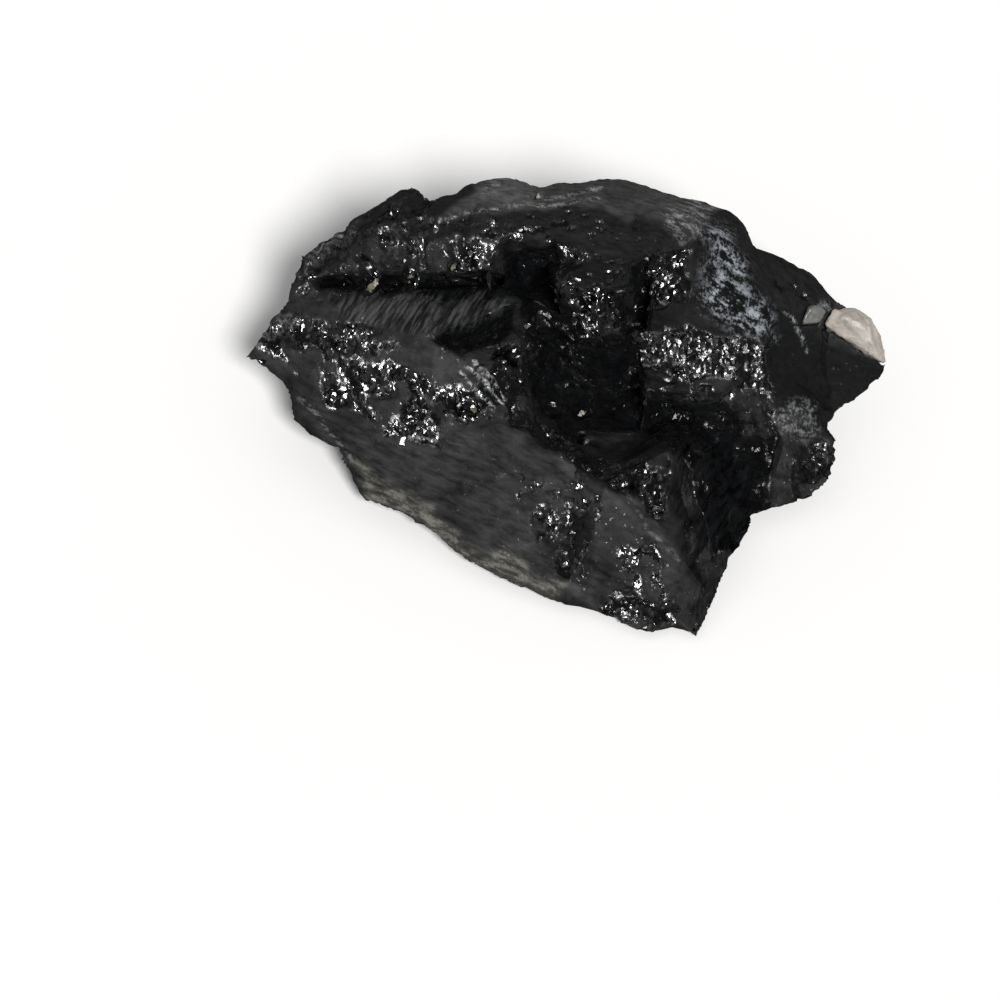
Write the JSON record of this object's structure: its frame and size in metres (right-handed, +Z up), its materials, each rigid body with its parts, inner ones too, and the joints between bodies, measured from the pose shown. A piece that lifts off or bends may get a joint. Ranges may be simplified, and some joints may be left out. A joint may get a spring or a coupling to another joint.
{
  "type": "black tourmaline specimen",
  "caption": "Rough broken lump of black tourmaline with ledges, a dark hollow and granular faces, tipped with cream feldspar, lying on its flat foot.",
  "frame": {"origin": "on the foot's plane, under the middle of the specimen's box", "axes": "+X along the specimen towards the feldspar tip, +Y away from the sloping front slab, +Z up from the foot"},
  "size_m": [0.109, 0.0746, 0.0417],
  "materials": {
    "tourmaline": "black, glassy on broken facets, duller grey on the smooth faces",
    "feldspar": "cream, matt, faintly waxy",
    "frosted_feldspar": "frosty grey white, half glassy"
  },
  "bodies": {
    "root": {"tourmaline": "tourmaline", "feldspar_cap": "feldspar", "feldspar_sliver": "frosted_feldspar", "feldspar_grain_groove": "feldspar", "feldspar_grain_slope": "feldspar", "feldspar_grain_lip": "feldspar", "feldspar_grain_step": "feldspar", "feldspar_grain_hollow": "feldspar", "feldspar_grain_peak": "feldspar"}
  },
  "joints": []
}
